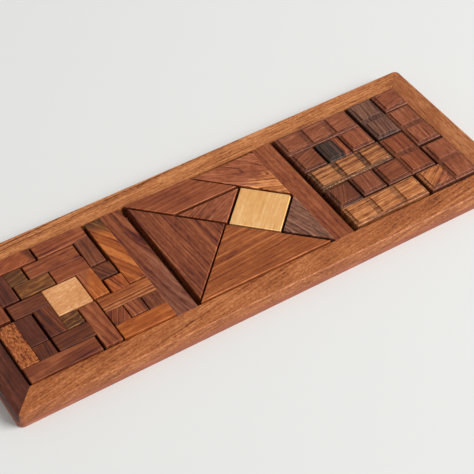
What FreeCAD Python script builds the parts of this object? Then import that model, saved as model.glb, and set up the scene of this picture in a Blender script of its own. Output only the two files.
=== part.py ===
"""Three-in-one wooden packing puzzle: a long mitred tray with three square cells.

The left cell holds twelve pentominoes and a pale square on an 8 x 8 grid, the middle cell a
seven-piece tangram, and the right cell seven bevelled polyominoes on a 5 x 5 grid.  Every loose
piece is glued up from separate blocks of wood, and each block is a body of its own.

Millimetres.  X runs along the tray, Y across it, Z up.  The origin is the centre of the underside.
"""
import FreeCAD, Part
import Sketcher
import math
import os

from FreeCAD import Placement, Rotation, Vector

DIMENSIONS = {
    "cell_size": 100.0,        # inside width of a cell, and of the square that its pieces fill
    "divider_width": 14.7,
    "divider_slack": 2.3,      # free room between a divider and the pieces on its right
    "rail_width": 16.0,
    "base_thick": 4.5,
    "rail_high": 8.0,          # rim above the base board, at its inner edge
    "rim_drop": 0.8,           # the rim slopes down by this much to its outer edge
    "rim_round": 1.2,
    "corner_round": 4.0,
    "block_thick": 10.0,
    "saw_ease": 0.12,          # each free face stands back from its grid line by this much
    "edge_ease": 0.4,          # chamfer on the free top edges of the loose pieces
    "pentomino_unit": 12.0,
    "tangram_unit": 25.0,
    "worn_corner": 1.6,        # the square tangram piece has lost the tip of its right corner
    "square_unit": 19.2,
    "panel_margin": 2.1,       # shoulder around each raised square of the 5 x 5 board
    "panel_high": 1.0,
    "panel_taper": 20.0,       # degrees that the sides of a raised square lean inwards
    "shoulder_chamfer": 0.6,
}

doc = FreeCAD.newDocument("packing_puzzle_tray")
dims = doc.addObject("Spreadsheet::Sheet", "dims")
for row, (alias, value) in enumerate(DIMENSIONS.items(), start=1):
    dims.set(f"A{row}", alias)
    dims.set(f"B{row}", str(value))
    dims.setAlias(f"B{row}", alias)
doc.recompute()

SIZE = {alias: float(dims.get(alias)) for alias in DIMENSIONS}
CELL_STEP = SIZE["cell_size"] + SIZE["divider_width"] + SIZE["divider_slack"]
INNER_LONG = SIZE["cell_size"] + 2 * CELL_STEP
INNER_WIDE = SIZE["cell_size"]
OUTER_LONG = INNER_LONG + 2 * SIZE["rail_width"]
OUTER_WIDE = INNER_WIDE + 2 * SIZE["rail_width"]
FLOOR = SIZE["base_thick"]

CELL_STEP_CELLS = "(dims.cell_size + dims.divider_width + dims.divider_slack)"
OUTER_LONG_CELLS = f"(dims.cell_size + 2 * {CELL_STEP_CELLS} + 2 * dims.rail_width)"
OUTER_WIDE_CELLS = "(dims.cell_size + 2 * dims.rail_width)"

nodes = []


# ---------------------------------------------------------------- sketch and body helpers

def new_body(name):
    body = doc.addObject("PartDesign::Body", name)
    body.Label = name
    nodes.append(body)
    return body


def new_sketch(body, name, plane="XY_Plane", height=None):
    """A sketch on one of the body's own origin planes, raised by a sheet expression if given."""
    sketch = body.newObject("Sketcher::SketchObject", name)
    base = next(f for f in body.Origin.OriginFeatures if f.Role == plane)
    sketch.AttachmentSupport = [(base, "")]
    sketch.MapMode = "FlatFace"
    if height:
        sketch.setExpression("AttachmentOffset.Base.z", height)
    return sketch


def add_polygon(sketch, points):
    """A closed polygon.  Each point is a pair of (value, expression), from the sketch origin."""
    first = sketch.GeometryCount
    corners = [Vector(x[0], y[0], 0) for x, y in points]
    for here, there in zip(corners, corners[1:] + corners[:1]):
        sketch.addGeometry(Part.LineSegment(here, there), False)
    count = len(corners)
    for i in range(count):
        following = first + (i + 1) % count
        sketch.addConstraint(Sketcher.Constraint("Coincident", first + i, 2, following, 1))
    for i, (x, y) in enumerate(points):
        for kind, axis, (value, expression) in (("DistanceX", -2, x), ("DistanceY", -1, y)):
            if abs(value) < 1e-9:
                sketch.addConstraint(Sketcher.Constraint("PointOnObject", first + i, 1, axis))
                continue
            index = sketch.addConstraint(Sketcher.Constraint(kind, -1, 1, first + i, 1, value))
            label = f"{kind}_{first + i}"
            sketch.renameConstraint(index, label)
            sketch.setExpression(f"Constraints.{label}", expression)


def rectangle(x0, y0, x1, y1):
    return [(x0, y0), (x1, y0), (x1, y1), (x0, y1)]


def add_pad(body, sketch, name, length):
    pad = body.newObject("PartDesign::Pad", name)
    pad.Profile = sketch
    pad.setExpression("Length", length)
    sketch.Visibility = False
    return pad


def edges_where(feature, test):
    """Names of the edges whose every vertex passes the test."""
    edges = feature.Shape.Edges
    return [f"Edge{i}" for i, edge in enumerate(edges, start=1)
            if all(test(vertex.Point) for vertex in edge.Vertexes)]


def add_fillet(body, base, edge_names, name, radius):
    fillet = body.newObject("PartDesign::Fillet", name)
    fillet.Base = (base, edge_names)
    fillet.setExpression("Radius", radius)
    return fillet


def add_chamfer(body, base, edge_names, name, size):
    chamfer = body.newObject("PartDesign::Chamfer", name)
    chamfer.Base = (base, edge_names)
    chamfer.setExpression("Size", size)
    return chamfer


# ---------------------------------------------------------------- tray

def make_base_board():
    body = new_body("base_board")
    sketch = new_sketch(body, "base_outline")
    right = (OUTER_LONG, OUTER_LONG_CELLS)
    far = (OUTER_WIDE, OUTER_WIDE_CELLS)
    add_polygon(sketch, rectangle((0, ""), (0, ""), right, far))
    pad = add_pad(body, sketch, "base_pad", "dims.base_thick")
    doc.recompute()
    upright = [f"Edge{i}" for i, edge in enumerate(pad.Shape.Edges, start=1)
               if abs(edge.Vertexes[0].Z - edge.Vertexes[-1].Z) > 1]
    add_fillet(body, pad, upright, "base_corners", "dims.corner_round")
    body.Placement = Placement(Vector(-OUTER_LONG / 2, -OUTER_WIDE / 2, 0), Rotation())


def add_rail_outline(sketch, long_cells, outer_long):
    """Mitred outline: outer edge on the X axis, both outer corners rounded up to the mitre."""
    width, radius = SIZE["rail_width"], SIZE["corner_round"]
    short = radius * (1 - math.sqrt(0.5))
    tangent_left, tangent_right = Vector(radius, 0, 0), Vector(outer_long - radius, 0, 0)
    mitre_left, mitre_right = Vector(short, short, 0), Vector(outer_long - short, short, 0)
    inner_left, inner_right = Vector(width, width, 0), Vector(outer_long - width, width, 0)
    up = Vector(0, 0, 1)
    circle_right = Part.Circle(Vector(outer_long - radius, radius, 0), up, radius)
    circle_left = Part.Circle(Vector(radius, radius, 0), up, radius)
    outer, round_right, cut_right, inner, cut_left, round_left = range(6)
    sketch.addGeometry([
        Part.LineSegment(tangent_left, tangent_right),
        Part.ArcOfCircle(circle_right, -math.pi / 2, -math.pi / 4),
        Part.LineSegment(mitre_right, inner_right),
        Part.LineSegment(inner_right, inner_left),
        Part.LineSegment(inner_left, mitre_left),
        Part.ArcOfCircle(circle_left, -3 * math.pi / 4, -math.pi / 2),
    ], False)
    constraint = Sketcher.Constraint
    sketch.addConstraint([
        constraint("Tangent", outer, 2, round_right, 1),
        constraint("Tangent", round_left, 2, outer, 1),
        constraint("Coincident", round_right, 2, cut_right, 1),
        constraint("Coincident", cut_right, 2, inner, 1),
        constraint("Coincident", inner, 2, cut_left, 1),
        constraint("Coincident", cut_left, 2, round_left, 1),
        constraint("PointOnObject", outer, 1, -1),
        constraint("PointOnObject", outer, 2, -1),
        constraint("PointOnObject", round_right, 3, cut_right),
        constraint("PointOnObject", round_left, 3, cut_left),
    ])
    sized = [
        ("round_left", constraint("Radius", round_left, radius), "dims.corner_round"),
        ("round_right", constraint("Radius", round_right, radius), "dims.corner_round"),
        ("centre_left", constraint("DistanceX", -1, 1, round_left, 3, radius), "dims.corner_round"),
        ("centre_right", constraint("DistanceX", -1, 1, round_right, 3, outer_long - radius),
         f"{long_cells} - dims.corner_round"),
        ("inner_left", constraint("DistanceX", -1, 1, inner, 2, width), "dims.rail_width"),
        ("inner_right", constraint("DistanceX", -1, 1, inner, 1, outer_long - width),
         f"{long_cells} - dims.rail_width"),
        ("depth_left", constraint("DistanceY", -1, 1, inner, 2, width), "dims.rail_width"),
        ("depth_right", constraint("DistanceY", -1, 1, inner, 1, width), "dims.rail_width"),
    ]
    for label, item, expression in sized:
        index = sketch.addConstraint(item)
        sketch.renameConstraint(index, label)
        sketch.setExpression(f"Constraints.{label}", expression)


def make_rail(name, long_cells, outer_long, corner, turn):
    """One mitred rail, its outer edge along X from the tray corner before it is turned."""
    body = new_body(name)
    outline = new_sketch(body, f"{name}_outline")
    add_rail_outline(outline, long_cells, outer_long)
    pad = add_pad(body, outline, f"{name}_pad", "dims.rail_high")

    wedge = new_sketch(body, f"{name}_slope", "YZ_Plane")
    width, top, drop = SIZE["rail_width"], SIZE["rail_high"], SIZE["rim_drop"]
    top_cell = (top, "dims.rail_high")
    add_polygon(wedge, [((0, ""), (top - drop, "dims.rail_high - dims.rim_drop")),
                        ((width, "dims.rail_width"), top_cell),
                        ((0, ""), top_cell)])
    slope = body.newObject("PartDesign::Pocket", f"{name}_top_slope")
    slope.Profile = wedge
    slope.Type = "ThroughAll"
    slope.Midplane = True
    wedge.Visibility = False
    doc.recompute()
    if slope.Shape.Volume > pad.Shape.Volume - 0.4 * width * drop * INNER_WIDE:
        raise RuntimeError(f"{name}: the top slope was not cut")

    def on_outer_top(point):
        return point.y < SIZE["corner_round"] and point.z > top - drop - 0.01
    add_fillet(body, slope, edges_where(slope, on_outer_top), f"{name}_round", "dims.rim_round")
    body.Placement = Placement(Vector(corner[0], corner[1], FLOOR), Rotation(Vector(0, 0, 1), turn))


def make_divider(name, index):
    body = new_body(name)
    sketch = new_sketch(body, f"{name}_outline")
    add_polygon(sketch, rectangle((0, ""), (0, ""), (SIZE["divider_width"], "dims.divider_width"),
                                  (INNER_WIDE, "dims.cell_size")))
    add_pad(body, sketch, f"{name}_pad", "dims.rail_high")
    left = -INNER_LONG / 2 + SIZE["cell_size"] + index * CELL_STEP
    body.Placement = Placement(Vector(left, -INNER_WIDE / 2, FLOOR), Rotation())


# ---------------------------------------------------------------- polyomino pieces

LEFT, RIGHT, NEAR, FAR = "left", "right", "near", "far"
STEP = {LEFT: (-1, 0), RIGHT: (1, 0), NEAR: (0, 1), FAR: (0, -1)}

# Each piece has an offset of its grid in the cell (X, Y), a rise of its top above the common
# thickness, and its glued blocks.  A block is (first column, first row, last column, last row),
# with columns from the left and rows from the far side, and any extra trim of its free sides.
PENTOMINOES = {
    "i_piece": ((3.90, 1.60), 0.20, {"bar": ((7, 0, 7, 4), {})}),
    "v_piece": ((1.60, 3.20), 0.00, {"bar": ((4, 0, 6, 0), {}),
                                     "strip": ((6, 1, 6, 2), {LEFT: 0.9})}),
    "l_piece": ((0.30, 3.30), 0.30, {"bar": ((0, 0, 3, 0), {}), "block": ((0, 1, 0, 1), {})}),
    "n_piece": ((1.60, 2.30), 0.10, {"bar": ((3, 1, 5, 1), {}), "strip": ((2, 2, 3, 2), {})}),
    "w_piece": ((0.50, 2.50), 0.15, {"strip": ((1, 1, 1, 2), {}), "block": ((2, 1, 2, 1), {}),
                                     "side_strip": ((0, 2, 0, 3), {})}),
    "f_piece": ((2.20, 2.10), 0.05, {"strip": ((4, 2, 5, 2), {}),
                                     "side_strip": ((5, 3, 5, 4), {LEFT: 0.9}),
                                     "block": ((6, 3, 6, 3), {RIGHT: -0.6})}),
    "z_piece": ((2.40, 1.10), 0.05, {"strip": ((1, 3, 2, 3), {}),
                                     "side_strip": ((2, 4, 2, 5), {LEFT: 0.3}),
                                     "block": ((3, 5, 3, 5), {})}),
    "p_piece": ((1.10, 0.40), 0.15, {"bar": ((0, 4, 0, 6), {}), "strip": ((1, 4, 1, 5), {})}),
    "y_piece": ((1.30, 0.10), 0.10, {"bar": ((0, 7, 3, 7), {}), "block": ((1, 6, 1, 6), {})}),
    "t_piece": ((3.10, 0.40), 0.20, {"bar": ((4, 5, 4, 7), {}),
                                     "strip": ((2, 6, 3, 6), {LEFT: -0.5})}),
    "x_piece": ((3.80, 0.80), 0.10, {"bar": ((5, 5, 7, 5), {}), "far_block": ((6, 4, 6, 4), {}),
                                     "near_block": ((6, 6, 6, 6), {})}),
    "u_piece": ((3.75, 0.15), 0.15, {"bar": ((5, 7, 7, 7), {}),
                                     "left_block": ((5, 6, 5, 6), {RIGHT: 0.4}),
                                     "right_block": ((7, 6, 7, 6), {LEFT: 0.5})}),
    "pale_piece": ((2.50, 1.30), 0.25, {"square": ((3, 3, 4, 4), {})}),
}

BEVELLED_PIECES = {
    "bevel_u": ((0.15, 3.00), 0.0, {"bar": ((0, 0, 2, 0), {}),
                                    "left_block": ((0, 1, 0, 1), {RIGHT: 0.7}),
                                    "right_block": ((2, 1, 2, 1), {LEFT: 0.6})}),
    "bevel_x": ((0.90, 2.20), 0.2, {"bar": ((0, 2, 2, 2), {}),
                                    "far_block": ((1, 1, 1, 1), {RIGHT: 0.9}),
                                    "near_block": ((1, 3, 1, 3), {LEFT: 0.6})}),
    "bevel_l": ((1.00, 1.00), 0.1, {"bar": ((0, 4, 2, 4), {}),
                                    "block": ((0, 3, 0, 3), {RIGHT: 0.6})}),
    "bevel_v": ((1.90, 1.90), 0.0, {"strip": ((3, 2, 3, 3), {}), "block": ((2, 3, 2, 3), {})}),
    "bevel_corner": ((3.40, 1.10), 0.1, {"strip": ((4, 3, 4, 4), {}),
                                         "block": ((3, 4, 3, 4), {})}),
    "bevel_s": ((2.50, 2.90), 0.2, {"far_strip": ((3, 0, 3, 1), {}),
                                    "near_strip": ((4, 1, 4, 2), {})}),
    "bevel_single": ((3.80, 3.40), 0.3, {"square": ((4, 0, 4, 0), {})}),
}


def block_cells(block):
    col0, row0, col1, row1 = block
    return {(col, row) for col in range(col0, col1 + 1) for row in range(row0, row1 + 1)}


def across(block, side):
    """The grid cells just outside one side of a block."""
    dx, dy = STEP[side]
    cells = block_cells(block)
    return {(col + dx, row + dy) for col, row in cells} - cells


def piece_cells(blocks):
    return set().union(*(block_cells(shape) for shape, _ in blocks.values()))


def set_back(blocks, name, side):
    """How far a block's face stands inside its grid line: a face with a glue joint stays on it."""
    block, trim = blocks[name]
    if across(block, side) & piece_cells(blocks):
        return 0.0
    return SIZE["saw_ease"] + trim.get(side, 0.0)


def ease_block(body, pad, node, blocks, name):
    """Chamfers the block's top edges, apart from a side that is glued along its whole length."""
    doc.recompute()
    box = pad.Shape.BoundBox
    places = {LEFT: ("x", box.XMin), RIGHT: ("x", box.XMax),
              NEAR: ("y", box.YMin), FAR: ("y", box.YMax)}
    eased = []
    for side, (axis, place) in places.items():
        if across(blocks[name][0], side) <= piece_cells(blocks):
            continue
        eased += edges_where(pad, lambda point: point.z > box.ZMax - 0.01
                             and abs(getattr(point, axis) - place) < 0.01)
    return add_chamfer(body, pad, eased, f"{node}_eased", "dims.edge_ease")


def make_block(node, blocks, name, unit, rows, cell_left, offset, rise, panels):
    """One rectangular block of a polyomino, with raised square panels if asked."""
    (col0, row0, col1, row1), _ = blocks[name]
    gap = {side: set_back(blocks, name, side) for side in (LEFT, RIGHT, NEAR, FAR)}
    cols_wide, rows_deep = col1 - col0 + 1, row1 - row0 + 1
    pitch = SIZE[unit]
    side_gaps, end_gaps = gap[LEFT] + gap[RIGHT], gap[NEAR] + gap[FAR]
    width = (cols_wide * pitch - side_gaps, f"{cols_wide} * dims.{unit} - {side_gaps:.2f}")
    depth = (rows_deep * pitch - end_gaps, f"{rows_deep} * dims.{unit} - {end_gaps:.2f}")

    body = new_body(node)
    outline = new_sketch(body, f"{node}_outline")
    add_polygon(outline, rectangle((0, ""), (0, ""), width, depth))
    pad = add_pad(body, outline, f"{node}_pad", f"dims.block_thick + {rise}")
    if panels:
        add_panels(body, pad, node, (cols_wide, rows_deep), gap, pitch, rise)
    else:
        ease_block(body, pad, node, blocks, name)
    x = cell_left + offset[0] + col0 * pitch + gap[LEFT]
    y = -INNER_WIDE / 2 + offset[1] + (rows - 1 - row1) * pitch + gap[NEAR]
    body.Placement = Placement(Vector(x, y, FLOOR), Rotation())


def add_panels(body, pad, node, counts, gap, pitch, rise):
    """Chamfers the shoulder and raises one square panel for each grid square of the block."""
    doc.recompute()
    top = SIZE["block_thick"] + rise
    rim = edges_where(pad, lambda point: point.z > top - 0.01)
    add_chamfer(body, pad, rim, f"{node}_shoulder", "dims.shoulder_chamfer")
    panels = new_sketch(body, f"{node}_panels", height=f"dims.block_thick + {rise}")
    margin = SIZE["panel_margin"]
    for i in range(counts[0]):
        for j in range(counts[1]):
            spans = []
            for index, back in ((i, gap[LEFT]), (j, gap[NEAR])):
                low = index * pitch + margin - back
                high = (index + 1) * pitch - margin - back
                spans.append(((low, f"{index} * dims.square_unit + dims.panel_margin - {back:.2f}"),
                              (high, f"{index + 1} * dims.square_unit - dims.panel_margin"
                                     f" - {back:.2f}")))
            (x0, x1), (y0, y1) = spans
            add_polygon(panels, rectangle(x0, y0, x1, y1))
    raised = add_pad(body, panels, f"{node}_raised", "dims.panel_high")
    raised.setExpression("TaperAngle", "-dims.panel_taper * 1 deg")


def make_board(pieces, unit, rows, cell_index, panels):
    cell_left = -INNER_LONG / 2 + cell_index * CELL_STEP
    for piece, (offset, rise, blocks) in pieces.items():
        for name in blocks:
            make_block(f"{piece}_{name}", blocks, name, unit, rows, cell_left, offset, rise, panels)


# ---------------------------------------------------------------- tangram

# Corners on a 4 x 4 lattice, how much smaller than its lattice shape the piece is cut, and how
# far its centre lies from the lattice place.
TANGRAM = {
    "tangram_large_left": ([(0, 0), (2, 2), (0, 4)], 0.924, (0.3, -0.5)),
    "tangram_large_near": ([(0, 0), (4, 0), (2, 2)], 0.964, (-1.6, -0.3)),
    "tangram_square": ([(2, 2), (3, 1), (4, 2), (3, 3)], 0.952, (-0.8, -1.7)),
    "tangram_small_right": ([(3, 1), (4, 0), (4, 2)], 0.940, (-0.1, -1.2)),
    "tangram_small_middle": ([(2, 2), (3, 3), (1, 3)], 0.916, (-0.4, -1.4)),
    "tangram_medium": ([(4, 2), (4, 4), (2, 4)], 0.932, (0.0, -2.0)),
    "tangram_parallelogram": ([(0, 4), (1, 3), (3, 3), (2, 4)], 0.960, (-1.0, -0.5)),
}
WORN_PIECE = "tangram_square"


def make_tangram():
    unit = SIZE["tangram_unit"]
    cell_left = -INNER_LONG / 2 + CELL_STEP
    for name, (corners, cut, shift) in TANGRAM.items():
        low_x, low_y = min(x for x, _ in corners), min(y for _, y in corners)
        points = [((unit * cut * (x - low_x), f"{x - low_x} * {cut} * dims.tangram_unit"),
                   (unit * cut * (y - low_y), f"{y - low_y} * {cut} * dims.tangram_unit"))
                  for x, y in corners]
        body = new_body(name)
        sketch = new_sketch(body, f"{name}_outline")
        add_polygon(sketch, points)
        solid = add_pad(body, sketch, f"{name}_pad", "dims.block_thick")
        doc.recompute()
        if name == WORN_PIECE:
            tip = solid.Shape.BoundBox.XMax
            worn = edges_where(solid, lambda point: point.x > tip - 0.01)
            solid = add_fillet(body, solid, worn, f"{name}_worn", "dims.worn_corner")
            doc.recompute()
        rim = edges_where(solid, lambda point: point.z > SIZE["block_thick"] - 0.01)
        add_chamfer(body, solid, rim, f"{name}_eased", "dims.edge_ease")
        mean_x = sum(x for x, _ in corners) / len(corners)
        mean_y = sum(y for _, y in corners) / len(corners)
        x = cell_left + shift[0] + unit * (mean_x - cut * (mean_x - low_x))
        y = -INNER_WIDE / 2 + shift[1] + unit * (mean_y - cut * (mean_y - low_y))
        body.Placement = Placement(Vector(x, y, FLOOR), Rotation())


# ---------------------------------------------------------------- assembly and export

half_long, half_wide = OUTER_LONG / 2, OUTER_WIDE / 2
make_base_board()
make_rail("near_rail", OUTER_LONG_CELLS, OUTER_LONG, (-half_long, -half_wide), 0)
make_rail("far_rail", OUTER_LONG_CELLS, OUTER_LONG, (half_long, half_wide), 180)
make_rail("left_rail", OUTER_WIDE_CELLS, OUTER_WIDE, (-half_long, half_wide), -90)
make_rail("right_rail", OUTER_WIDE_CELLS, OUTER_WIDE, (half_long, -half_wide), 90)
make_divider("left_divider", 0)
make_divider("right_divider", 1)
make_board(PENTOMINOES, "pentomino_unit", 8, 0, panels=False)
make_tangram()
make_board(BEVELLED_PIECES, "square_unit", 5, 2, panels=True)
doc.recompute()

for item in doc.Objects:
    if {"Invalid", "Error"} & set(item.State):
        raise RuntimeError(f"{item.Label} failed: {item.State}")
for body in nodes:
    shape = body.Shape
    if shape.isNull() or not shape.isValid() or len(shape.Solids) != 1:
        raise RuntimeError(f"{body.Label} is not one valid solid")

os.makedirs("parts", exist_ok=True)
for body in nodes:
    body.Shape.exportStep(f"parts/{body.Label}.step")
print(len(nodes), "nodes written")
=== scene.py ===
"""Looks for the three-in-one wooden packing puzzle: oiled rosewood offcuts in a mitred tray.

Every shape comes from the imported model.  This script softens the sawn edges with modifiers, gives
each block of wood its own solid wood grain, and sets up the floor, the studio light and the camera.
Lengths in the tables are millimetres and are turned into metres where they are used.
"""
import math

import bpy
from mathutils import Matrix, Vector


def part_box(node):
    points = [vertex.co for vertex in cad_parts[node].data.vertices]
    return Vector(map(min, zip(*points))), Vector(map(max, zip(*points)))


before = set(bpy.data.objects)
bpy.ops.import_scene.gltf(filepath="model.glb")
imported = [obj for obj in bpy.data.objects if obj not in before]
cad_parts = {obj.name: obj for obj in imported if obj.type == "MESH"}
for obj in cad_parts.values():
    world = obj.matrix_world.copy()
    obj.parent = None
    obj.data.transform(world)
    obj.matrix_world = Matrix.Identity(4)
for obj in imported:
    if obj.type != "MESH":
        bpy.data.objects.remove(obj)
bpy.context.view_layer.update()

MM = 0.001
HALF = (0.5, 0.5, 0.5)


# ---------------------------------------------------------------- colours

SHEEN_HAZE = 0.018     # what the satin finish adds by reflecting the pale room


def seen(red, green, blue):
    """Linear base colour of a wood that looks like these 0-255 display values under its finish."""
    def linear(value):
        share = value / 255
        bright = share / 12.92 if share <= 0.04045 else ((share + 0.055) / 1.055) ** 2.4
        return max(bright - SHEEN_HAZE, 0.004)
    return (linear(red), linear(green), linear(blue), 1.0)


# Dark, middle and light colour of each kind of wood in the box of offcuts.
WOODS = {
    "golden": (seen(112, 62, 34), seen(184, 113, 68), seen(220, 150, 96)),
    "amber": (seen(112, 62, 36), seen(170, 100, 60), seen(204, 134, 86)),
    "orange": (seen(112, 54, 26), seen(166, 88, 46), seen(206, 122, 64)),
    "copper": (seen(100, 50, 28), seen(154, 84, 48), seen(192, 116, 68)),
    "salmon": (seen(136, 80, 58), seen(166, 99, 74), seen(190, 120, 92)),
    "rosy": (seen(100, 54, 38), seen(148, 83, 57), seen(180, 110, 78)),
    "russet": (seen(90, 44, 28), seen(140, 76, 50), seen(172, 102, 68)),
    "chestnut": (seen(80, 40, 28), seen(130, 71, 48), seen(162, 94, 62)),
    "walnut": (seen(70, 38, 30), seen(114, 64, 46), seen(144, 86, 60)),
    "umber": (seen(60, 32, 24), seen(100, 56, 40), seen(132, 76, 52)),
    "plum": (seen(56, 30, 26), seen(90, 51, 41), seen(118, 68, 54)),
    "olive": (seen(58, 36, 26), seen(98, 62, 42), seen(142, 94, 54)),
    "dusk": (seen(80, 52, 44), seen(124, 83, 67), seen(156, 110, 88)),
    "taupe": (seen(86, 48, 38), seen(128, 77, 59), seen(154, 100, 79)),
    "ebony": (seen(48, 40, 38), seen(78, 62, 54), seen(128, 78, 58)),
    "pale": (seen(190, 122, 76), seen(217, 150, 97), seen(236, 180, 128)),
    "straw": (seen(204, 142, 82), seen(228, 170, 107), seen(240, 192, 133)),
}


# ---------------------------------------------------------------- what each block is cut from

def look(wood, grain, figure=0.7, band=1.6, swirl=0.8, dive=2, pith=60, streak=1.0, fleck=0.25,
         fleck_size=1.6, pores=1.0, end=None, shade=1.0, stain=0.0, sides=0.65, edge_wear_and_highlight=0.25):
    """How one block was cut.  grain: degrees from +X on its top.  figure: contrast of the bands.
    band: width of a band.  swirl: how far the bands wander.  dive: degrees that the grain dips
    into the block.  pith: distance of the tree's centre.  streak and fleck: contrast of the fine
    streaks and of the short flecks.  fleck_size: their size.  pores: how dark the open pores are.
    end: another wood at one end, as (wood, direction in degrees, distance from the block's
    centre, width of the change).  shade: overall brightness.  stain: how much darker the wood is,
    in patches, just below its top.  sides: painted shade, the same darkening further down its sides.
    rubbed: how light its edges are, partly worn wood and partly a painted highlight."""
    return dict(wood=wood, grain=grain, figure=figure, band=band, swirl=swirl, dive=dive, pith=pith,
                streak=streak, fleck=fleck, fleck_size=fleck_size, pores=pores, end=end, shade=shade,
                stain=stain, sides=sides, edge_wear_and_highlight=edge_wear_and_highlight)


# Bevelled and tangram pieces get lighter edges: partly worn wood, partly a painted highlight.
EDGES_WORN_AND_HIGHLIT = 0.8


def bevelled(wood, grain, sides=1.0, **cut):
    """A block of the bevelled pieces: painted shade down its sides, and light edges, partly worn and partly
    a painted highlight.
    """
    return look(wood, grain, sides=sides, edge_wear_and_highlight=EDGES_WORN_AND_HIGHLIT, **cut)


def tangram(wood, grain, sides=0.8, **cut):
    """A piece of the tangram: fairly strong painted shade down its sides, and light edges, partly worn and
    partly a painted highlight.
    """
    return look(wood, grain, sides=sides, edge_wear_and_highlight=EDGES_WORN_AND_HIGHLIT, **cut)


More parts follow.
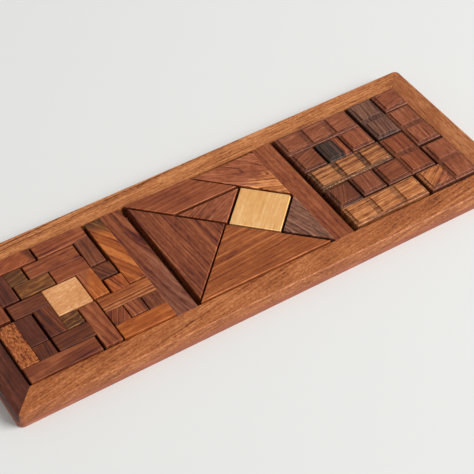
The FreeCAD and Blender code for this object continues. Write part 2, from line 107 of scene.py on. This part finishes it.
LOOKS = {
    "base_board": look("salmon", 0, figure=0.4, band=3.5, pith=90, sides=0.0),
    "near_rail": look("amber", 9, figure=0.7, band=2.4, pith=80, dive=1, streak=1.2, fleck=0.6,
                      fleck_size=0.75, pores=1.6, sides=0.0),
    "far_rail": look("golden", 2, figure=1.1, band=2.2, pith=60, dive=1, streak=1.3, fleck=0.5,
                     fleck_size=0.9, pores=1.4, sides=0.0),
    "left_rail": look("plum", 90, figure=0.7, pith=50, sides=0.0),
    "right_rail": look("amber", 84, figure=0.5, pith=50, fleck=0.4, shade=0.84, sides=0.0),
    "left_divider": look("chestnut", 95, figure=0.9, band=3.0, swirl=8, pith=14, dive=6,
                         end=("taupe", 272, 14, 50)),
    "right_divider": look("russet", 90, figure=0.8, band=2.6, pith=70, fleck=0.4, shade=0.98),

    "i_piece_bar": look("orange", 114, figure=1.25, band=5.4, swirl=4, pith=30, dive=6, shade=0.95,
                        end=("olive", 60, 19, 8)),
    "v_piece_bar": look("russet", 3, figure=1.2, fleck=0.4, fleck_size=3.0, shade=1.1),
    "v_piece_strip": look("walnut", 86),
    "l_piece_bar": look("russet", 20, figure=1.3, band=3.4, swirl=8, pith=14, dive=8, shade=1.25,
                        end=("umber", 20, 19, 3)),
    "l_piece_block": look("umber", 90),
    "n_piece_bar": look("russet", 2, fleck=0.5, fleck_size=3.0),
    "n_piece_strip": look("olive", 4, figure=0.7, band=2.4, fleck=0.5, fleck_size=2.4, shade=1.5),
    "w_piece_strip": look("plum", 88, shade=1.1),
    "w_piece_block": look("olive", 12, figure=0.7, shade=0.95),
    "w_piece_side_strip": look("chestnut", 86),
    "f_piece_strip": look("russet", 4, shade=1.06),
    "f_piece_side_strip": look("orange", 94, figure=0.8, band=2.4, end=("russet", 150, 4, 6)),
    "f_piece_block": look("umber", 120, figure=1.0, band=2.6),
    "z_piece_strip": look("walnut", 0),
    "z_piece_side_strip": look("umber", 96, figure=1.1, band=3.0, swirl=6, pith=14, dive=8, shade=1.2),
    "z_piece_block": look("olive", 10, figure=1.1, band=1.4, fleck=0.8, fleck_size=1.2, shade=1.05),
    "p_piece_bar": look("copper", 92, figure=0.6, fleck=1.4, fleck_size=0.65, pores=1.8),
    "p_piece_strip": look("plum", 92, figure=0.4),
    "y_piece_bar": look("chestnut", 4, figure=0.5, fleck=0.8, fleck_size=6.0, shade=0.93),
    "y_piece_block": look("umber", 84, shade=1.12),
    "t_piece_bar": look("russet", 97, figure=0.9, band=2.2, fleck=0.5, fleck_size=3.0, shade=0.98),
    "t_piece_strip": look("umber", 4, shade=1.1),
    "x_piece_bar": look("copper", 0, figure=1.4, band=1.8, end=("amber", 270, 3, 4)),
    "x_piece_far_block": look("copper", 104, figure=0.8, shade=1.38),
    "x_piece_near_block": look("russet", 96, figure=0.9, end=("umber", 0, 4, 2)),
    "u_piece_bar": look("orange", 2, figure=0.6, fleck=0.4, fleck_size=3.0),
    "u_piece_left_block": look("chestnut", 60, figure=1.0, end=("umber", 235, 5, 3), shade=1.15),
    "u_piece_right_block": look("walnut", 90, fleck=0.5, shade=1.06),
    "pale_piece_square": look("pale", 8, figure=0.3, band=1.6, fleck=0.6, fleck_size=0.9, pores=0.8),

    "tangram_large_left": tangram("chestnut", 92, figure=1.0, band=2.6, swirl=2, pith=40, fleck=0.4,
                                  sides=0.0),
    "tangram_large_near": tangram("copper", 3, figure=0.8, band=3.2, swirl=2, pith=50, shade=0.98),
    "tangram_square": tangram("straw", 42, figure=0.4, band=1.8, fleck=0.3, pores=0.3),
    "tangram_small_right": tangram("dusk", 106, figure=1.3, band=1.8, fleck=0.6, shade=1.08),
    "tangram_small_middle": tangram("rosy", 24, figure=0.7, band=1.4, fleck=0.5, shade=0.98),
    "tangram_medium": tangram("rosy", 150, figure=0.8, band=3.4, swirl=9, pith=14, dive=8, fleck=0.5,
                              end=("golden", 298, 9, 12), shade=1.10),
    "tangram_parallelogram": tangram("russet", 2, figure=0.7, end=("amber", 195, 34, 8), shade=1.05),

    "bevel_u_bar": bevelled("rosy", 4, fleck=0.4, stain=0.64, shade=0.88, sides=0.4),
    "bevel_u_left_block": bevelled("walnut", 20, stain=0.64, shade=1.10, sides=0.4),
    "bevel_u_right_block": bevelled("rosy", 88, fleck=0.4, stain=0.6),
    "bevel_x_bar": bevelled("golden", 2, figure=1.2, band=1.8, fleck=0.5, stain=1.0, shade=0.78, sides=0.5),
    "bevel_x_far_block": bevelled("ebony", 88, figure=1.2, band=2.2, stain=0.22, end=("russet", 0, 3, 2)),
    "bevel_x_near_block": bevelled("rosy", 84, stain=0.64, shade=0.80),
    "bevel_l_bar": bevelled("golden", 3, figure=1.2, band=1.8, fleck=0.5, stain=0.64, sides=0.5),
    "bevel_l_block": bevelled("walnut", 60, figure=0.8, stain=0.68, shade=0.98, sides=0.4),
    "bevel_v_strip": bevelled("russet", 88, stain=0.6),
    "bevel_v_block": bevelled("chestnut", 5, stain=0.64, shade=0.93),
    "bevel_corner_strip": bevelled("rosy", 86, fleck=0.4, stain=0.52, shade=0.97),
    "bevel_corner_block": bevelled("golden", 32, figure=0.8, band=1.8, fleck=0.5, stain=0.68, shade=1.10,
                                   end=("rosy", 300, 2, 3)),
    "bevel_s_far_strip": bevelled("dusk", 82, figure=0.9, stain=0.68, shade=0.93),
    "bevel_s_near_strip": bevelled("rosy", 86, fleck=0.4, stain=0.6, shade=0.88),
    "bevel_single_square": bevelled("rosy", 10, fleck=0.6, stain=0.6, shade=0.94),
}


# ---------------------------------------------------------------- node helpers

def add(tree, kind, **values):
    """A shader node.  Keyword values set its inputs by name."""
    node = tree.nodes.new(kind)
    for name, value in values.items():
        node.inputs[name.replace("_", " ")].default_value = value
    return node


def maths(tree, operation, first, second=0.0, clamp=False):
    """A Math node on two sockets or numbers, and its output."""
    node = tree.nodes.new("ShaderNodeMath")
    node.operation = operation
    node.use_clamp = clamp
    feed(tree, node.inputs[0], first)
    feed(tree, node.inputs[1], second)
    return node.outputs[0]


def vector_maths(tree, operation, first, second):
    """A Vector Math node on two vectors, or on a vector and its scale, and its vector output."""
    node = tree.nodes.new("ShaderNodeVectorMath")
    node.operation = operation
    feed(tree, node.inputs[0], first)
    feed(tree, node.inputs[3 if operation == "SCALE" else 1], second)
    return node.outputs[0]


def feed(tree, socket, source):
    """Links a socket to its source, or sets it if the source is a plain value."""
    if isinstance(source, bpy.types.NodeSocket):
        tree.links.new(source, socket)
    else:
        socket.default_value = source


def noise(tree, vector, scale, seed, detail=2.0, roughness=0.5):
    """Smooth noise in 4D, so that each seed gives its own pattern."""
    node = add(tree, "ShaderNodeTexNoise", Detail=detail, Roughness=roughness)
    node.noise_dimensions = "4D"
    feed(tree, node.inputs["Scale"], scale)
    feed(tree, node.inputs["Vector"], vector)
    feed(tree, node.inputs["W"], seed)
    return node


def line_noise(tree, place, detail, roughness):
    """Noise along one number, for bands of uneven width."""
    node = add(tree, "ShaderNodeTexNoise", Scale=1.0, Detail=detail, Roughness=roughness)
    node.noise_dimensions = "1D"
    feed(tree, node.inputs["W"], place)
    return node.outputs["Fac"]


def step(tree, value, low, high):
    """A smooth step, 0 at low and 1 at high.  It falls instead if high is the smaller."""
    node = add(tree, "ShaderNodeMapRange", From_Min=low, From_Max=high)
    node.interpolation_type = "SMOOTHSTEP"
    feed(tree, node.inputs["Value"], value)
    return node.outputs["Result"]


def mix_colour(tree, share, first, second, blend="MIX"):
    """A Mix node on two colours, and its output."""
    node = tree.nodes.new("ShaderNodeMix")
    node.data_type = "RGBA"
    node.blend_type = blend
    feed(tree, node.inputs[0], share)
    feed(tree, node.inputs[6], first)
    feed(tree, node.inputs[7], second)
    return node.outputs[2]


def tinted(tree, share, colour, tint):
    """The colour, multiplied by the tint as far as the share says."""
    return mix_colour(tree, share, colour, mix_colour(tree, 1.0, colour, tint, "MULTIPLY"))


def parts_of(tree, vector):
    """The X, Y and Z outputs of a vector."""
    parts = tree.nodes.new("ShaderNodeSeparateXYZ")
    feed(tree, parts.inputs[0], vector)
    return parts.outputs


# ---------------------------------------------------------------- the wood

FLOAT_INPUTS = ("Grain", "Dive", "Seed", "Figure", "Band", "Swirl", "Pith", "Streak", "Fleck",
                "Fleck Size", "Pores", "End Place", "End Width", "Shade", "Below Top Dark", "Sides",
                "Stain Top", "Edge Wear And Highlight")
COLOUR_INPUTS = ("Dark", "Middle", "Light", "End Dark", "End Middle", "End Light")
VECTOR_INPUTS = ("Centre", "End Direction")

# Each noise pattern: its scale along the grain as a share of the scale across, features in a
# metre across, detail and roughness.
PATTERNS = {
    "wander": (0.35, 34, 1.0, 0.5),
    "ripple": (0.15, 260, 2.0, 0.5),
    "streaks": (0.07, 640, 3.0, 0.65),
    "fibres": (0.04, 1700, 2.0, 0.6),
    "clouds": (0.45, 75, 2.0, 0.5),
    "dashes": (0.09, 2300, 1.0, 0.5),
    "stain": (1.0, 700, 2.0, 0.5),
    "edge_patches": (1.0, 260, 2.0, 0.5),
}
FLECK_STRETCH = 0.35
FLECK_DETAIL = 1.5
FLECK_LIMITS = (0.36, 0.64)
PORE_LIMITS = (0.62, 0.72)

# How much each part of the pattern changes the lightness of the wood, and its middle value.
BAND_STRENGTH = 1.5
THIN_LINE_DEPTH = 0.35
STREAK_STRENGTH = 0.9
FIBRE_STRENGTH = 0.5
FLECK_STRENGTH = 0.6
CLOUD_STRENGTH = 0.9
MIDDLE_VALUE = 0.60

SWIRL_SCALE = 2.0
RIPPLE_DEPTH = 1.0 * MM
PITH_ASIDE = 0.9
PITH_BELOW = 0.45
RING_SHIFT = 7.3        # bands between the starting rings of two seeds that differ by one
BAND_NOISE = (3.0, 0.6)             # detail and roughness
THIN_LINE_NOISE = (1.0, 0.5)        # the same
THIN_LINE_SPACING = 1.3
THIN_LINE_HALF = 0.04

PORE_TINT = (0.42, 0.34, 0.30, 1.0)
# Painted shade: darkens the wood in patches just below the top, and further down the sides of blocks, where
# the gaps between them are.
DARKEN_AND_SHADE_TINT = (0.26, 0.26, 0.30, 1.0)
# Lightened edges: partly worn wood, partly a painted highlight.
EDGE_WEAR_AND_HIGHLIGHT_TINT = (2.1, 2.4, 2.8, 1.0)
BELOW_TOP_DEPTHS = (0.1 * MM, 0.5 * MM)
BELOW_TOP_LIMITS = (0.2, 0.6)
# Depths below the top over which the painted shade down the sides grows.
SIDE_DEPTHS = (0.3 * MM, 2.6 * MM)
# How much the darkening and painted shade take the lightened edges away.
DARKENING_HIDES_EDGE_LIGHT = 0.8
FLAT_TO_SLOPE = (0.98, 0.90)       # upward part of the normal, from a flat top to a slope
SIDE_TO_SLOPE = (0.40, 0.60)       # the same, from an upright side to a slope
# Patches along the lightened edges, partly worn wood and partly a painted highlight.
EDGE_PATCH_LIMITS = (0.3, 0.7)
EDGE_PATCH_SPREAD = 0.6
EDGE_PATCH_LEAST = 0.4

ROUGH_LEAST = 0.36
ROUGH_FIBRES = 0.20
ROUGH_DARKENED = 0.15
ROUGH_PORES = 0.2
FIBRE_RELIEF = 0.6


def make_wood_group():
    """Solid wood that runs right through a block: bands of figure round a wandering pith, streaks
    and flecks along the grain, open pores, a darkening in patches just below the top, painted shade
    down the sides, and light edges, partly worn and partly a painted highlight."""
    tree = bpy.data.node_groups.new("solid_wood", "ShaderNodeTree")
    for names, kind in ((FLOAT_INPUTS, "NodeSocketFloat"), (COLOUR_INPUTS, "NodeSocketColor"),
                        (VECTOR_INPUTS, "NodeSocketVector")):
        for name in names:
            tree.interface.new_socket(name, in_out="INPUT", socket_type=kind)
    for name, kind in (("Colour", "NodeSocketColor"), ("Roughness", "NodeSocketFloat"),
                       ("Height", "NodeSocketFloat")):
        tree.interface.new_socket(name, in_out="OUTPUT", socket_type=kind)
    given = tree.nodes.new("NodeGroupInput").outputs
    result = tree.nodes.new("NodeGroupOutput").inputs

    along, offset, height_of = grain_space(tree, given)
    value, fibres, pores = wood_value(tree, along, ring_radius(tree, along, given), given)
    # Painted shade down the sides of blocks, and a darkening in patches just below the top.
    stained = old_stain(tree, along, height_of, given)
    undarkened = maths(tree, "SUBTRACT", 1.0, maths(tree, "MULTIPLY", stained, DARKENING_HIDES_EDGE_LIGHT))
    # Edges lightened, partly worn wood and partly a painted highlight; less where the wood is darkened.
    edge_wear_and_highlight = maths(tree, "MULTIPLY", worn_and_highlit_edge(tree, along, given), undarkened)

    colour = wood_colour(tree, value, offset, given)
    colour = tinted(tree, pores, colour, PORE_TINT)
    colour = tinted(tree, stained, colour, DARKEN_AND_SHADE_TINT)
    feed(tree, result["Colour"], tinted(tree, edge_wear_and_highlight, colour, EDGE_WEAR_AND_HIGHLIGHT_TINT))

    rough = maths(tree, "ADD", maths(tree, "MULTIPLY", fibres, ROUGH_FIBRES), ROUGH_LEAST)
    rough = maths(tree, "ADD", rough, maths(tree, "MULTIPLY", stained, ROUGH_DARKENED))
    rough = maths(tree, "ADD", rough, maths(tree, "MULTIPLY", pores, ROUGH_PORES))
    feed(tree, result["Roughness"], rough)
    relief = maths(tree, "SUBTRACT", maths(tree, "MULTIPLY", fibres, FIBRE_RELIEF), pores)
    feed(tree, result["Height"], relief)
    return tree


def grain_space(tree, given):
    """Coordinates from the block's centre with X along the grain, the same before turning, and
    the height in the tray."""
    place = tree.nodes.new("ShaderNodeTexCoord").outputs["Object"]
    offset = vector_maths(tree, "SUBTRACT", place, given["Centre"])
    turned = offset
    for axis, angle in (("Z_AXIS", given["Grain"]), ("Y_AXIS", given["Dive"])):
        turn = tree.nodes.new("ShaderNodeVectorRotate")
        turn.rotation_type = axis
        feed(tree, turn.inputs["Vector"], turned)
        feed(tree, turn.inputs["Angle"], angle)
        turned = turn.outputs["Vector"]
    return turned, offset, parts_of(tree, place)["Z"]


def stretched(tree, vector, share):
    """The grain space squeezed along X, so that a pattern in it is drawn out along the grain."""
    return vector_maths(tree, "MULTIPLY", vector, (share, 1.0, 1.0))


def pattern(tree, along, name, seed):
    """The noise node of one of the patterns."""
    share, scale, detail, roughness = PATTERNS[name]
    return noise(tree, stretched(tree, along, share), scale, seed, detail, roughness)


def ring_radius(tree, along, given):
    """Distance from the pith, bent by two sizes of slow noise."""
    wander = pattern(tree, along, "wander", given["Seed"]).outputs["Color"]
    ripple = pattern(tree, along, "ripple", given["Seed"]).outputs["Color"]
    bend = vector_maths(tree, "SCALE", vector_maths(tree, "SUBTRACT", wander, HALF),
                        maths(tree, "MULTIPLY", given["Swirl"], SWIRL_SCALE))
    small = vector_maths(tree, "SCALE", vector_maths(tree, "SUBTRACT", ripple, HALF), RIPPLE_DEPTH)
    bent = parts_of(tree, vector_maths(tree, "ADD", vector_maths(tree, "ADD", along, bend), small))
    side = maths(tree, "ADD", bent["Y"], maths(tree, "MULTIPLY", given["Pith"], PITH_ASIDE))
    down = maths(tree, "ADD", bent["Z"], maths(tree, "MULTIPLY", given["Pith"], PITH_BELOW))
    squares = maths(tree, "ADD", maths(tree, "POWER", side, 2.0), maths(tree, "POWER", down, 2.0))
    return maths(tree, "SQRT", squares)


def centred(tree, value, strength):
    """A 0-1 pattern turned into one about zero."""
    return maths(tree, "MULTIPLY", maths(tree, "SUBTRACT", value, 0.5), strength)


def wood_value(tree, along, radius, given):
    """How light the wood is, about 0 to 1, with its fibres and pores."""
    seed = given["Seed"]
    streaks = pattern(tree, along, "streaks", seed).outputs["Fac"]
    fibres = pattern(tree, along, "fibres", seed).outputs["Fac"]
    fine = maths(tree, "ADD", centred(tree, streaks, STREAK_STRENGTH),
                 centred(tree, fibres, FIBRE_STRENGTH))
    fine = maths(tree, "MULTIPLY", fine, given["Streak"])

    clouds = pattern(tree, along, "clouds", seed).outputs["Fac"]
    dashes = pattern(tree, along, "dashes", seed).outputs["Fac"]
    pores = maths(tree, "MULTIPLY", step(tree, dashes, *PORE_LIMITS), given["Pores"], clamp=True)

    value = maths(tree, "ADD", figure_bands(tree, radius, given), fine)
    value = maths(tree, "ADD", value, short_flecks(tree, along, given))
    value = maths(tree, "ADD", value, centred(tree, clouds, CLOUD_STRENGTH))
    return maths(tree, "ADD", value, MIDDLE_VALUE), fibres, pores


def figure_bands(tree, radius, given):
    """Growth bands of uneven width, with thin dark lines among them."""
    rings = maths(tree, "DIVIDE", radius, given["Band"])
    rings = maths(tree, "ADD", rings, maths(tree, "MULTIPLY", given["Seed"], RING_SHIFT))
    bands = centred(tree, line_noise(tree, rings, *BAND_NOISE), BAND_STRENGTH)
    thin = line_noise(tree, maths(tree, "MULTIPLY", rings, THIN_LINE_SPACING), *THIN_LINE_NOISE)
    from_middle = maths(tree, "ABSOLUTE", maths(tree, "SUBTRACT", thin, 0.5))
    thin = step(tree, from_middle, THIN_LINE_HALF, 0.0)
    figure = maths(tree, "SUBTRACT", bands, maths(tree, "MULTIPLY", thin, THIN_LINE_DEPTH))
    return maths(tree, "MULTIPLY", figure, given["Figure"])


def short_flecks(tree, along, given):
    """Light and dark flecks a little longer than wide."""
    scale = maths(tree, "DIVIDE", 1.0, given["Fleck Size"])
    flecks = noise(tree, stretched(tree, along, FLECK_STRETCH), scale, given["Seed"], FLECK_DETAIL)
    flecks = centred(tree, step(tree, flecks.outputs["Fac"], *FLECK_LIMITS), FLECK_STRENGTH)
    return maths(tree, "MULTIPLY", flecks, given["Fleck"])


def three_colours(tree, value, dark, middle, light):
    """Dark at 0, middle at 0.5 and light at 1."""
    low = mix_colour(tree, step(tree, value, 0.0, 0.5), dark, middle)
    return mix_colour(tree, step(tree, value, 0.5, 1.0), low, light)


def wood_colour(tree, value, offset, given):
    """Dark, middle and light wood by value, the other wood at one end, and the overall shade."""
    body = three_colours(tree, value, given["Dark"], given["Middle"], given["Light"])
    other = three_colours(tree, value, given["End Dark"], given["End Middle"], given["End Light"])
    reach = vector_maths(tree, "DOT_PRODUCT", offset, given["End Direction"])
    reach = reach.node.outputs["Value"]
    ragged = maths(tree, "MULTIPLY", maths(tree, "SUBTRACT", value, 0.5), given["End Width"])
    past = maths(tree, "SUBTRACT", maths(tree, "ADD", reach, ragged), given["End Place"])
    share = maths(tree, "DIVIDE", past, given["End Width"])
    body = mix_colour(tree, step(tree, share, -0.5, 0.5), body, other)
    return mix_colour(tree, 1.0, body, shade_colour(tree, given["Shade"]), "MULTIPLY")


def shade_colour(tree, shade):
    """A grey of this brightness."""
    grey = tree.nodes.new("ShaderNodeCombineColor")
    for socket in grey.inputs[:3]:
        feed(tree, socket, shade)
    return grey.outputs[0]


def old_stain(tree, along, height_of, given):
    """How much the wood is darkened: in patches just below the top, and with painted shade further down the
    sides.
    """
    depth = maths(tree, "SUBTRACT", given["Stain Top"], height_of)
    below = step(tree, depth, *BELOW_TOP_DEPTHS)
    patchy = pattern(tree, along, "stain", given["Seed"]).outputs["Fac"]
    uneven = maths(tree, "MULTIPLY", below, step(tree, patchy, *BELOW_TOP_LIMITS))
    shallow = maths(tree, "MULTIPLY", uneven, given["Below Top Dark"])
    # Painted shade: darker further down the sides, where the gaps between blocks are.
    painted_side_shade = maths(tree, "MULTIPLY", step(tree, depth, *SIDE_DEPTHS), given["Sides"])
    return maths(tree, "MAXIMUM", shallow, painted_side_shade)


def worn_and_highlit_edge(tree, along, given):
    """Chamfers and rounded edges, which face neither up nor sideways, are made light in patches: partly
    worn wood, partly a painted highlight.
    """
    up = parts_of(tree, tree.nodes.new("ShaderNodeNewGeometry").outputs["Normal"])["Z"]
    edge = maths(tree, "MULTIPLY", step(tree, up, *FLAT_TO_SLOPE), step(tree, up, *SIDE_TO_SLOPE))
    patchy = pattern(tree, along, "edge_patches", given["Seed"]).outputs["Fac"]
    uneven = maths(tree, "MULTIPLY", step(tree, patchy, *EDGE_PATCH_LIMITS), EDGE_PATCH_SPREAD)
    uneven = maths(tree, "ADD", uneven, EDGE_PATCH_LEAST)
    return maths(tree, "MULTIPLY", maths(tree, "MULTIPLY", edge, uneven), given["Edge Wear And Highlight"])


# ---------------------------------------------------------------- the material of a block

BUMP_STRENGTH = 0.35
BUMP_DEPTH = 0.08 * MM
WOOD_SPECULAR = 0.4
NO_END = (0, 1000, 10)      # direction, distance and width of an end that no block reaches


def unit_direction(degrees):
    """A level direction, in degrees from +X."""
    angle = math.radians(degrees)
    return (math.cos(angle), math.sin(angle), 0.0)


def wood_inputs(cut):
    """The inputs of the wood group for one cut: its colours and its end of another wood."""
    dark, middle, light = WOODS[cut["wood"]]
    values = {"Dark": dark, "Middle": middle, "Light": light}
    end_wood, direction, place, width = cut["end"] or (cut["wood"], *NO_END)
    dark, middle, light = WOODS[end_wood]
    values.update({"End Dark": dark, "End Middle": middle, "End Light": light})
    values["End Direction"] = unit_direction(direction)
    values["End Place"] = place * MM
    values["End Width"] = width * MM
    return values


def cut_inputs(name, cut, seed):
    """The inputs of the wood group for one cut: where the block is, and its pattern."""
    low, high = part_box(name)
    return {
        "Centre": (low + high) / 2,
        "Stain Top": high.z,
        "Grain": -math.radians(cut["grain"]),
        "Dive": math.radians(cut["dive"]),
        "Seed": seed,
        "Figure": cut["figure"],
        "Band": cut["band"] * MM,
        "Swirl": cut["swirl"] * MM,
        "Pith": cut["pith"] * MM,
        "Streak": cut["streak"],
        "Fleck": cut["fleck"],
        "Fleck Size": cut["fleck_size"] * MM,
        "Pores": cut["pores"],
        "Shade": cut["shade"],
        "Below Top Dark": cut["stain"],
        "Sides": cut["sides"],
        "Edge Wear And Highlight": cut["edge_wear_and_highlight"],
    }


def make_wood(name, cut, seed, group):
    """The material of one block."""
    material = bpy.data.materials.new(f"wood_{name}")
    material.use_nodes = True
    tree = material.node_tree
    shader = tree.nodes["Principled BSDF"]
    wood = tree.nodes.new("ShaderNodeGroup")
    wood.node_tree = group
    for socket, value in {**wood_inputs(cut), **cut_inputs(name, cut, seed)}.items():
        wood.inputs[socket].default_value = value
    bump = add(tree, "ShaderNodeBump", Strength=BUMP_STRENGTH, Distance=BUMP_DEPTH)
    feed(tree, bump.inputs["Height"], wood.outputs["Height"])
    feed(tree, shader.inputs["Base Color"], wood.outputs["Colour"])
    feed(tree, shader.inputs["Roughness"], wood.outputs["Roughness"])
    feed(tree, shader.inputs["Normal"], bump.outputs["Normal"])
    shader.inputs["Specular IOR Level"].default_value = WOOD_SPECULAR
    return material


# ---------------------------------------------------------------- the blocks

WELD_DISTANCE = 0.001 * MM
FLAT_ANGLE = math.radians(0.5)
SHARP_ANGLE = math.radians(20)
EDGE_SOFTNESS = 0.22 * MM
SEED_STEP = 1.37


def soften(piece):
    """Joins the faceted mesh's split corners, clears its flat facets and rounds its sharp edges."""
    weld = piece.modifiers.new("weld", "WELD")
    weld.merge_threshold = WELD_DISTANCE
    flatten = piece.modifiers.new("flatten", "DECIMATE")
    flatten.decimate_type = "DISSOLVE"
    flatten.angle_limit = FLAT_ANGLE
    bevel = piece.modifiers.new("soft_edges", "BEVEL")
    bevel.width = EDGE_SOFTNESS
    bevel.segments = 2
    bevel.limit_method = "ANGLE"
    bevel.angle_limit = SHARP_ANGLE
    bevel.harden_normals = True


def dress_blocks():
    """Gives every node its own wood and softens it."""
    group = make_wood_group()
    for number, (name, piece) in enumerate(sorted(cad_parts.items())):
        material = make_wood(name, LOOKS[name], SEED_STEP * number, group)
        piece.data.materials.clear()
        piece.data.materials.append(material)
        soften(piece)


# ---------------------------------------------------------------- floor, light and camera

FLOOR_COLOUR = (0.80, 0.80, 0.785, 1.0)
FLOOR_ROUGHNESS = 0.9
FLOOR_SPECULAR = 0.1
FLOOR_HALF = 10.0       # metres, so that no view shows the floor's edge
KEY_PLACE = Vector((2.5, -2.1, 2.9))
KEY_SIZE = 2.8
KEY_POWER = 192.0
SKY_COLOUR = (1.0, 1.0, 0.99, 1.0)
SKY_STRENGTH = 0.41

# Metres and degrees.  The heading turns clockwise from +Y.
CAMERA_PLACE = Vector((-0.3476, -0.5844, 0.7044))
CAMERA_HEADING = 31.25
CAMERA_ELEVATION = 46.0
CAMERA_ROLL = -1.23
CAMERA_LENS = 114.4


def make_floor():
    """A pale matt floor under the tray."""
    signs = ((-1, -1), (1, -1), (1, 1), (-1, 1))
    corners = [(x * FLOOR_HALF, y * FLOOR_HALF, 0.0) for x, y in signs]
    mesh = bpy.data.meshes.new("floor")
    mesh.from_pydata(corners, [], [(0, 1, 2, 3)])
    floor = bpy.data.objects.new("floor", mesh)
    bpy.context.scene.collection.objects.link(floor)
    material = bpy.data.materials.new("pale_floor")
    material.use_nodes = True
    shader = material.node_tree.nodes["Principled BSDF"]
    shader.inputs["Base Color"].default_value = FLOOR_COLOUR
    shader.inputs["Roughness"].default_value = FLOOR_ROUGHNESS
    shader.inputs["Specular IOR Level"].default_value = FLOOR_SPECULAR
    mesh.materials.append(material)


def make_light():
    """A large soft lamp, high up to the near right, and an even pale room."""
    lamp = bpy.data.lights.new("key", "AREA")
    lamp.shape = "SQUARE"
    lamp.size = KEY_SIZE
    lamp.energy = KEY_POWER
    key = bpy.data.objects.new("key", lamp)
    key.location = KEY_PLACE
    key.rotation_mode = "QUATERNION"
    key.rotation_quaternion = (-KEY_PLACE).to_track_quat("-Z", "Y")
    bpy.context.scene.collection.objects.link(key)
    world = bpy.data.worlds.new("studio")
    world.use_nodes = True
    background = world.node_tree.nodes["Background"]
    background.inputs["Color"].default_value = SKY_COLOUR
    background.inputs["Strength"].default_value = SKY_STRENGTH
    bpy.context.scene.world = world


def make_camera():
    """The camera, above the near left of the tray."""
    data = bpy.data.cameras.new("camera")
    data.lens = CAMERA_LENS
    camera = bpy.data.objects.new("camera", data)
    turn = (Matrix.Rotation(math.radians(-CAMERA_HEADING), 4, "Z")
            @ Matrix.Rotation(math.radians(90 - CAMERA_ELEVATION), 4, "X")
            @ Matrix.Rotation(math.radians(CAMERA_ROLL), 4, "Z"))
    camera.matrix_world = Matrix.Translation(CAMERA_PLACE) @ turn
    bpy.context.scene.collection.objects.link(camera)
    bpy.context.scene.camera = camera


make_camera()
dress_blocks()
make_floor()
make_light()
bpy.context.scene.view_settings.view_transform = "Standard"
